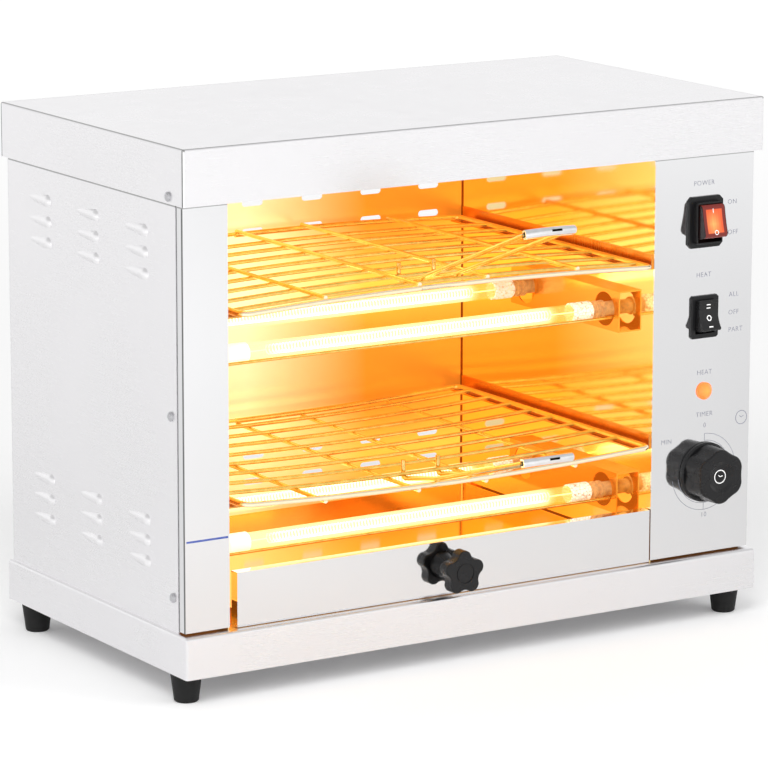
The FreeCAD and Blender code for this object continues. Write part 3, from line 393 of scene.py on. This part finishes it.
COIL_HALF = 118 * MM
COIL_PITCH = 2.6 * MM
COIL_RADIUS = 3.4 * MM
COIL_WIRE = 0.4 * MM
COIL_LEAD_BEND = 2 * MM
COIL_STEPS = 10
COIL_SIDES = 6
CRACK_SCALE = 420.0


def quartz():
    """Clear quartz that glows along the coil inside it and is only amber beyond the coil's ends."""
    shader = Shader("quartz")
    end = CHAMBER_MIDDLE + COIL_HALF
    lit = shader.span(shader.along("X"), 1.0, 0.0, end - 4 * MM, end + 4 * MM)
    shader.set(Base_Color=(0.3, 0.22, 0.12, 1), Roughness=0.05, Alpha=shader.span(lit, 0.32, 0.48))
    shader.glow(shader.mix(lit, (1.0, 0.56, 0.08), (1.0, 0.8, 0.36)), shader.span(lit, 0.95, 1.3))
    return shader.material


def hot_filament():
    """A wound filament, glowing: bright turns, a little cooler towards the ends."""
    shader = Shader("hot_filament")
    glow_amount = shader.inside("X", CHAMBER_MIDDLE, COIL_HALF - 6 * MM, 6 * MM)
    shader.set(Base_Color=(0.3, 0.2, 0.1, 1))
    shader.glow(shader.mix(glow_amount, (1.0, 0.5, 0.12), (1.0, 0.8, 0.45)), 9.0)
    return shader.material


def glowing_ceramic():
    """Pale ceramic ends, with the light of the lamp inside them painted on as a glow that is weaker
    towards the right, and more crackled towards the right.
    """
    shader = Shader("white_ceramic")
    rightward = shader.span(shader.along("X"), 0.0, 1.0, CHAMBER_LEFT, CHAMBER_RIGHT)
    cells = shader.node("ShaderNodeTexVoronoi", {"Vector": shader.place(), "Scale": CRACK_SCALE},
                        feature="DISTANCE_TO_EDGE")
    edges = shader.span(cells.outputs["Distance"], 1.0, 0.0, 0.02, 0.09)
    crack = shader.math("MULTIPLY", edges, rightward)
    shader.set(Base_Color=shader.mix(crack, (0.93, 0.9, 0.84), (0.45, 0.24, 0.1)), Roughness=0.4)
    shader.glow(shader.mix(crack, (1.0, 0.88, 0.6), (0.35, 0.12, 0.02)),
                shader.span(rightward, 1.0, 0.6))
    shader.bump(crack, 0.3)
    return shader.material


def brown_ceramic():
    """Ribbed brown holders, their brown made lighter and more orange by painted lamp light, with a
    painted glow of lamp light along veins.
    """
    shader = Shader("brown_ceramic")
    colour = (0.72, 0.4, 0.17)
    shader.set(Base_Color=shader.mottle(60, dimmed(colour, 0.8), colour), Roughness=0.4)
    shader.bump(shader.noise(700), 0.3)
    veins = shader.noise(320, detail=5, rough=0.7)
    shader.glow(shader.ramp(veins, (0.35, (0.25, 0.05, 0.01)), (0.6, (1.0, 0.45, 0.1))), 0.35)
    return shader.material


# Plastics and print

RIB_PITCH = 2.2 * MM
PRINT_GREY = (0.24, 0.25, 0.32)
PRINT_BLUE = (0.03, 0.08, 0.42)
PRINT_WHITE = (0.9, 0.9, 0.9)


def plastic(name, colour, rough, grain=0.15):
    """Moulded plastic with a fine spark texture."""
    shader = Shader(name)
    shader.set(Base_Color=shader.mottle(40, dimmed(colour, 0.8), colour),
               Roughness=shader.span(shader.noise(120), rough * 0.85, rough * 1.2),
               Specular_IOR_Level=0.32)
    shader.bump(shader.noise(1800, detail=2), grain, FINE_BUMP)
    return shader.material


def red_lens():
    """A dark red translucent rocker whose middle window shows the neon lamp behind its ribs."""
    shader = Shader("red_lens")
    window = shader.within(("X", POWER.x, 6.9 * MM, 0.35 * MM),
                           ("Z", POWER.z + 2.2 * MM, 8.4 * MM, 0.35 * MM))
    neon = shader.within(("X", POWER.x - 1.2 * MM, 3.2 * MM, 3.6 * MM),
                         ("Z", POWER.z + 0.2 * MM, 4.2 * MM, 5.5 * MM))
    # The flanks beyond this face are left near black and without glow: painted shade, for the shadow in
    # the switch's collar
    face = shader.inside("X", POWER.x, 9.5 * MM, 0.2 * MM)
    rib = shader.math("SINE", shader.math("MULTIPLY", shader.along("X"), 2 * math.pi / RIB_PITCH))
    body = shader.mix(face, (0.012, 0.003, 0.003), (0.13, 0.018, 0.014))
    shader.set(Base_Color=body, Roughness=0.2, Specular_IOR_Level=0.35)
    rim = shader.mix(face, (0.0, 0.0, 0.0), (0.1, 0.01, 0.007))
    lit = shader.mix(neon, (1.0, 0.14, 0.03), (1.0, 0.66, 0.18))
    shader.glow(shader.mix(window, rim, lit), shader.span(rib, 0.86, 1.0, -1.0, 1.0))
    return shader.material


def amber_lens():
    """An amber dome, brightest in the middle."""
    shader = Shader("amber_lens")
    core = shader.within(("X", INDICATOR.x, 2 * MM, 4 * MM), ("Z", INDICATOR.z, 2 * MM, 4 * MM))
    shader.set(Base_Color=(0.85, 0.2, 0.03, 1), Roughness=0.1, Coat_Weight=0.5)
    shader.glow(shader.mix(core, (1.0, 0.16, 0.03), (1.0, 0.5, 0.05)), 0.85)
    shader.bump(shader.noise(900), 0.05, FINE_BUMP)
    return shader.material


def print_ink(name, colour, lit=0.0):
    """Screen print: matt ink, a little uneven in its density, with a painted glow where lit is given.
    """
    shader = Shader(name)
    pale = [c + (1 - c) * 0.12 for c in colour]
    density = shader.ramp(shader.noise(900), (0.35, colour), (0.75, pale))
    shader.set(Base_Color=density, Roughness=0.55)
    if lit:
        shader.glow(colour, lit)
    return shader.material


# Each material slot of the record, and what builds its material
MATERIALS = {
    "satin_steel": satin_steel,
    "polished_steel": polished_steel,
    "reflector_steel": lambda: lamplit_mirror("reflector_steel", LAMPLIT_MIRROR_PAINT),
    "bracket_steel": lambda: brushed("bracket_steel", LAMPLIT_RAIL_PAINT, 0.28, DEPTH_GRAIN, 0.2).material,
    "rack_wire": rack_wire,
    "grip_steel": lambda: chrome("grip_steel", GRIP_CHROME, 0.1),
    "quartz": quartz,
    "hot_filament": hot_filament,
    "white_ceramic": glowing_ceramic,
    "brown_ceramic": brown_ceramic,
    "black_knob": lambda: plastic("black_knob", KNOB_BLACK, 0.26),
    "black_plastic": lambda: plastic("black_plastic", KNOB_BLACK, 0.34),
    "black_rocker": lambda: plastic("black_rocker", ROCKER_BLACK, 0.28),
    "red_lens": red_lens,
    "amber_lens": amber_lens,
    "grey_plastic": lambda: plastic("grey_plastic", GREY_PLASTIC, 0.5),
    "white_plastic": lambda: plastic("white_plastic", WHITE_PLASTIC, 0.4),
    "black_rubber": lambda: plastic("black_rubber", RUBBER_BLACK, 0.6, 0.4),
    "zinc_steel": lambda: chrome("zinc_steel", ZINC, 0.2),
}


def dress_cad_nodes():
    """Each carried-over node takes its slot's material, apart from those with a look of their own."""
    made = {slot: build() for slot, build in MATERIALS.items()}
    for row in frame["record"]["subparts"]:
        dress(made[row["material_slot"]], row["node"])
    dress_case()
    dress(rear_panel_steel(), "rear_panel")
    dress(handle_wire(), *[f"{tier}_rack_handle" for tier in RACK_TIERS])
    dress(lamplit_mirror("pan_steel", LAMPLIT_PAN_PAINT, 0.12), "crumb_tray_pan")
    dress(lamplit_mirror("lamp_bracket_steel", LAMPLIT_BRACKET_PAINT, 0.16, 0.16),
          *[f"{tier}_{side}_lamp_bracket" for tier in TIERS for side in SIDES])
    return made


def dress(material, *nodes):
    for node in nodes:
        slots = frame["nodes"][node].data.materials
        slots.clear()
        slots.append(material)


def dress_case():
    """The outer sheets, with painted dark reflections along the lid's bent edges, a painted shadow
    under its skirt and painted shade lines at the left strip.
    """
    low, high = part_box("lid")
    bend_dark_reflection = [(0.3, ("Y", place, 0.6 * MM)) for place in (low.y + 1.2 * MM, high.y - 1.2 * MM)]
    bend_dark_reflection += [(0.45, ("X", place, 0.7 * MM), ("Z", high.z, 1.5 * MM))
              for place in (low.x + 0.9 * MM, high.x - 0.9 * MM)]
    dress(satin_steel("lid_steel", bend_dark_reflection), "lid")

    lid_shadow = (0.4, ("Z", low.z - 1.0 * MM, 1.0 * MM))
    dress(satin_steel("side_steel", [lid_shadow]), *[f"{side}_side_panel" for side in SIDES])
    dress(polished_steel("panel_steel", [lid_shadow]), "control_panel")

    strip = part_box("left_front_strip")[0]
    side_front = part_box("left_side_panel")[0].y
    flank = ("X", strip.x, 0.3 * MM)
    joint_shade = [(0.15, flank, ("Y", place, 0.9 * MM))
              for place in (strip.y + 0.6 * MM, side_front - 0.9 * MM)]
    dress(polished_steel("strip_steel", [*joint_shade, lid_shadow]), "left_front_strip")


# Mesh helpers

def piece(name, build, material, body=CASE):
    """Turn a bmesh into a named piece that rides on a body."""
    mesh = bpy.data.meshes.new(name)
    bmesh.ops.recalc_face_normals(build, faces=build.faces)
    build.to_mesh(mesh)
    build.free()
    mesh.materials.append(material)
    made = bpy.data.objects.new(name, mesh)
    bpy.context.scene.collection.objects.link(made)
    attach(made, body)
    return made


def bridge(build, first, second):
    """Quads between two closed loops of the same length."""
    count = len(first)
    for i in range(count):
        j = (i + 1) % count
        build.faces.new((first[i], first[j], second[j], second[i]))


def tube_along(build, path, radius, sides):
    """A round wire along points, closed at both ends."""
    previous = None
    up = Vector((0, 0, 1))
    for index, point in enumerate(path):
        ahead = path[min(index + 1, len(path) - 1)] - path[max(index - 1, 0)]
        ahead.normalize()
        side = ahead.cross(up)
        if side.length < 1e-4:
            side = ahead.cross(Vector((0, 1, 0)))
        side.normalize()
        top = side.cross(ahead)
        turns = (2 * math.pi * k / sides for k in range(sides))
        loop = [build.verts.new(point + (side * math.cos(turn) + top * math.sin(turn)) * radius)
                for turn in turns]
        if previous:
            bridge(build, previous, loop)
        else:
            build.faces.new(loop)
        previous = loop
    build.faces.new(previous)


# Print on the panels and knobs

PRINT_LIFT = 0.04 * MM
MARK_LIFT = 0.05 * MM
PRINT_SKIN = 0.03 * MM
PRINT_LINE = 0.35 * MM
LETTER_HEIGHT = 3.5 * MM
# A letter's height in the built-in font is about 0.7 of its size
CAP_SHARE = 0.7
LETTER_SPACING = 1.12
LETTER_THINNING = -0.05 * MM
ARC_STEP_DEGREES = 6

# The words on the control panel, each with its place in mm from the middle of a fitting
PANEL_WORDS = (
    ("POWER", POWER, -0.7, 28.1), ("ON", POWER, 24.6, 12.4), ("OFF", POWER, 25.6, -9.9),
    ("HEAT", HEAT, -0.4, 30.6), ("ALL", HEAT, 26.8, 13.8), ("OFF", HEAT, 26.8, 0.6),
    ("PART", HEAT, 28.8, -12.2), ("HEAT", INDICATOR, 0.2, 13.6), ("TIMER", TIMER, -0.5, 42.7),
    ("0", TIMER, 0, 34.4), ("MIN", TIMER, -34, 25.7), ("10", TIMER, 0.4, -32.2),
)
DIAL_RADII = (23.2, 28.3)
DIAL_SWEEP = 262
CLOCK_PLACE = (33.0, 36.7)
CLOCK_RADIUS = 5.0
CLOCK_HANDS = ((2.1, 1.2), (-1.5, 1.3))

# White marks as (name, CAD node under it, body, slot, fitting, lines, rings): each line is
# (start, end, width) and each ring is (centre, radius, width), in mm from the fitting's middle
MARKS = (
    ("power_marks", "power_rocker", "power_rocker_body", "red_lens", POWER,
     [((-0.6, 8.0), (-0.6, 11.2), 0.5)], [((0.4, -5.8), 1.5, 0.5)]),
    ("heat_marks", "heat_rocker", "heat_rocker_body", "black_rocker", HEAT,
     [((-1.7, z), (1.7, z), 0.8) for z in (9.6, 7.2, -6.0)], [((0, 0), 1.7, 0.7)]),
    ("timer_knob_mark", "timer_knob", "timer_spindle", "black_knob", TIMER,
     [((0, 0), (2.4, 0.5), 0.6), ((0, 0), (-1.5, 1.2), 0.6)], [((0, 0), 4.8, 0.7)]),
)
STRIP_LINE_HEIGHT = 115.1 * MM
STRIP_LINE_WIDTH = 1.4 * MM


def add_words(build, words, x, z, y):
    """Letters that face the front with their middle at (x, z) on the plane y."""
    data = bpy.data.curves.new("words", "FONT")
    data.body = words
    data.size = LETTER_HEIGHT / CAP_SHARE
    data.align_x = "CENTER"
    data.align_y = "CENTER"
    data.space_character = LETTER_SPACING
    data.offset = LETTER_THINNING
    data.extrude = PRINT_SKIN / 2
    data.resolution_u = 3
    letters = bpy.data.objects.new("words", data)
    mesh = bpy.data.meshes.new_from_object(letters)
    mesh.transform(Matrix.Translation((x, y, z)) @ Matrix.Rotation(math.radians(90), 4, "X"))
    build.from_mesh(mesh)
    bpy.data.objects.remove(letters)
    bpy.data.meshes.remove(mesh)
    bpy.data.curves.remove(data)


def add_band(build, inner, outer, y):
    """A flat printed band between two rows of (x, z) points, as thick as the ink."""
    back, front = y + PRINT_SKIN / 2, y - PRINT_SKIN / 2
    front_in, front_out, back_in, back_out = [
        [build.verts.new((x, depth, z)) for x, z in points]
        for depth in (front, back) for points in (inner, outer)]
    last = len(inner) - 1
    for i in range(last):
        build.faces.new((front_in[i], front_in[i + 1], front_out[i + 1], front_out[i]))
        build.faces.new((back_in[i], back_out[i], back_out[i + 1], back_in[i + 1]))
        build.faces.new((front_out[i], front_out[i + 1], back_out[i + 1], back_out[i]))
        build.faces.new((front_in[i], back_in[i], back_in[i + 1], front_in[i + 1]))
    for i in (0, last):
        build.faces.new((front_in[i], front_out[i], back_out[i], back_in[i]))


def add_line(build, start, end, width, y):
    first, last = Vector(start), Vector(end)
    run = last - first
    side = Vector((-run.y, run.x)).normalized() * width / 2
    add_band(build, [first - side, last - side], [first + side, last + side], y)


def add_arc(build, centre, radius, width, sweep, y):
    """A printed arc about (x, z), clockwise from the top through the sweep in degrees."""
    steps = round(sweep / ARC_STEP_DEGREES)
    turns = [math.radians(sweep * k / steps) for k in range(steps + 1)]
    inner, outer = (
        [(centre[0] + r * math.sin(turn), centre[1] + r * math.cos(turn)) for turn in turns]
        for r in (radius - width / 2, radius + width / 2))
    add_band(build, inner, outer, y)


def beside(fitting, across, upward):
    """The (x, z) place that lies some mm from the middle of a fitting."""
    return fitting.x + across * MM, fitting.z + upward * MM


def panel_print():
    """Words, the timer's dial and a small clock, printed on the control panel."""
    build = bmesh.new()
    y = PANEL_FACE - PRINT_LIFT
    for words, fitting, across, upward in PANEL_WORDS:
        add_words(build, words, *beside(fitting, across, upward), y)
    for radius in DIAL_RADII:
        add_arc(build, (TIMER.x, TIMER.z), radius * MM, PRINT_LINE, DIAL_SWEEP, y)
    for way in (1, -1):
        start, end = (beside(TIMER, 0, way * radius) for radius in DIAL_RADII)
        add_line(build, start, end, PRINT_LINE, y)
    clock = beside(TIMER, *CLOCK_PLACE)
    add_arc(build, clock, CLOCK_RADIUS * MM, 0.5 * MM, 360, y)
    for across, upward in CLOCK_HANDS:
        tip = (clock[0] + across * MM, clock[1] + upward * MM)
        add_line(build, clock, tip, PRINT_LINE, y)
    piece("panel_print", build, print_ink("print_grey", PRINT_GREY))


def drape(build, node):
    """Lay a flat print, drawn about the plane y = 0, on the front of a CAD node."""
    mesh = frame["nodes"][node].data
    corners = [vertex.co for vertex in mesh.vertices]
    surface = BVHTree.FromPolygons(corners, [face.vertices[:] for face in mesh.polygons])
    for vertex in build.verts:
        start = Vector((vertex.co.x, cad_box[0][1] - 1, vertex.co.z))
        vertex.co.y += surface.ray_cast(start, Vector((0, 1, 0)))[0].y


def moving_print():
    """White marks on the two rockers and the timer's knob, which move with them."""
    # The white marks are given a painted glow
    ink = print_ink("print_white", PRINT_WHITE, 0.25)
    for name, node, body, slot, fitting, lines, rings in MARKS:
        build = bmesh.new()
        for start, end, width in lines:
            add_line(build, beside(fitting, *start), beside(fitting, *end), width * MM, -MARK_LIFT)
        for centre, radius, width in rings:
            add_arc(build, beside(fitting, *centre), radius * MM, width * MM, 360, -MARK_LIFT)
        drape(build, node)
        piece(name, build, ink, body)


def strip_line():
    """A plain blue line across the left strip."""
    low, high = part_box("left_front_strip")
    build = bmesh.new()
    start = (low.x + 1.5 * MM, STRIP_LINE_HEIGHT)
    end = (high.x - 1 * MM, STRIP_LINE_HEIGHT)
    add_line(build, start, end, STRIP_LINE_WIDTH, low.y - PRINT_LIFT)
    piece("strip_line", build, print_ink("print_blue", PRINT_BLUE))


# Glowing coils

def heating_coils(material):
    """The wound filament of each tier's two lamps, with a straight lead at each end."""
    for tier in TIERS:
        node = f"{tier}_heating_coils"
        low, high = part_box(node)
        build = bmesh.new()
        for place in ("front", "rear"):
            add_coil(build, low.x, high.x, middle(f"{tier}_{place}_lamp_tube"))
        made = piece(f"{tier}_wound_filaments", build, material)
        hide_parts(node)


def add_coil(build, left, right, centre):
    half = COIL_HALF - COIL_WIRE
    steps = round(2 * half / COIL_PITCH) * COIL_STEPS
    on_axis = [Vector((x, centre.y, centre.z)) for x in
               (left, centre.x - half - COIL_LEAD_BEND, centre.x + half + COIL_LEAD_BEND, right)]
    turns = []
    for step in range(steps + 1):
        turn = 2 * math.pi * step / COIL_STEPS
        turns.append(Vector((centre.x - half + 2 * half * step / steps,
                             centre.y + COIL_RADIUS * math.sin(turn),
                             centre.z + COIL_RADIUS * math.cos(turn))))
    tube_along(build, on_axis[:2] + turns + on_axis[2:], COIL_WIRE, COIL_SIDES)


# Stage, light and camera

# The camera stands ahead of the front left corner and looks down at the part
CAMERA_PLACE = Vector((-1.63978, -2.54372, 0.82571))
CAMERA_TURN = math.radians(32.246)
CAMERA_DIP = math.radians(11.929)
CAMERA_ROLL = math.radians(0.109)
SENSOR_WIDTH = 36.0
LENS = 203.34
CAMERA_REACH = 50

# Each lamp's place and width in metres, and its watts
LAMPS = {"key": ((-1.6, -1.8, 2.4), 1.6, 52), "fill": ((2.4, -3.2, 2.6), 2.0, 40)}
LAMP_AIM = Vector((0, 0, 0.2))

WORLD_LIGHT = 0.6
# The world in a mirror falls from white to grey between these heights of a ray's direction
OVERHEAD_GREY = 0.66
OVERHEAD_HEIGHTS = (0.3, 0.55)

FLOOR_SIZE = 8
FLOOR_COLOUR = (0.96, 0.96, 0.96)
FLOOR_LIFT = (0.1, 0.42)
LIFT_RANGE = (0.7, 3.5)
# The mirrored floor's grey at each end of a stretch along X and along Y
RIGHTWARD = (1.0, 0.72, 0.0, 0.95)
REARWARD = (0.95, 0.82, -1.1, -0.15)


def camera():
    data = bpy.data.cameras.new("camera")
    data.sensor_width = SENSOR_WIDTH
    data.lens = LENS
    data.clip_end = CAMERA_REACH
    made = bpy.data.objects.new("camera", data)
    turn = Matrix.Rotation(-CAMERA_TURN, 4, "Z")
    dip = Matrix.Rotation(math.radians(90) - CAMERA_DIP, 4, "X")
    roll = Matrix.Rotation(CAMERA_ROLL, 4, "Z")
    made.matrix_world = Matrix.Translation(CAMERA_PLACE) @ turn @ dip @ roll
    bpy.context.scene.collection.objects.link(made)
    bpy.context.scene.camera = made


def soft_light(name, place, width, power):
    """A square lamp that lights the part but isn't mirrored in its steel."""
    data = bpy.data.lights.new(name, "AREA")
    data.shape = "SQUARE"
    data.size = width
    data.energy = power
    made = bpy.data.objects.new(name, data)
    made.visible_glossy = False
    aimed = (LAMP_AIM - Vector(place)).to_track_quat("-Z", "Y")
    made.matrix_world = Matrix.Translation(place) @ aimed.to_matrix().to_4x4()
    bpy.context.scene.collection.objects.link(made)


def world():
    """White where it is seen straight or low in a mirror, greyer overhead, softer as a light."""
    made = bpy.data.worlds.new("studio")
    made.use_nodes = True
    bpy.context.scene.world = made
    tree = Nodes(made.node_tree)
    coords = tree.node("ShaderNodeTexCoord")
    ray = tree.node("ShaderNodeSeparateXYZ", {"Vector": coords.outputs["Generated"]})
    overhead = tree.span(ray.outputs["Z"], 1.0, OVERHEAD_GREY, *OVERHEAD_HEIGHTS)
    seen = tree.span(tree.is_ray("Glossy"), 1.0, overhead)
    background = tree.nodes["Background"]
    tree.feed(background.inputs["Color"], (1, 1, 1, 1))
    tree.feed(background.inputs["Strength"], tree.span(tree.seen_straight(), WORLD_LIGHT, seen))


def floor_shine(shader):
    """White lift of the floor, more of it further out where less of the lamps' light falls."""
    spot = shader.node("ShaderNodeVectorMath", {0: shader.place()}, operation="LENGTH")
    lift = shader.span(spot.outputs["Value"], *FLOOR_LIFT, *LIFT_RANGE)
    return shader.math("MULTIPLY", lift, shader.seen_straight())


def floor_white(shader):
    """The floor's white, which the steel mirrors a little darker to the right and near the part."""
    rightward = shader.span(shader.along("X"), *RIGHTWARD)
    rearward = shader.span(shader.along("Y"), *REARWARD)
    shade = shader.math("MULTIPLY", rightward, rearward)
    mirrored = shader.mix(shade, (0.0, 0.0, 0.0), (1.0, 1.0, 1.0))
    return shader.mix(shader.is_ray("Glossy"), FLOOR_COLOUR, mirrored)


def floor():
    mesh = bpy.data.meshes.new("floor")
    build = bmesh.new()
    bmesh.ops.create_grid(build, x_segments=1, y_segments=1, size=FLOOR_SIZE)
    build.to_mesh(mesh)
    build.free()
    made = bpy.data.objects.new("floor", mesh)
    bpy.context.scene.collection.objects.link(made)
    shader = Shader("floor")
    shader.set(Base_Color=floor_white(shader), Roughness=0.8, Specular_IOR_Level=0.0)
    shader.glow((1, 1, 1), floor_shine(shader))
    mesh.materials.append(shader.material)


bpy.context.scene.view_settings.view_transform = "Standard"
camera()
world()
floor()
for lamp_name, settings in LAMPS.items():
    soft_light(lamp_name, *settings)
slot_materials = dress_cad_nodes()
heating_coils(slot_materials["hot_filament"])
panel_print()
moving_print()
strip_line()
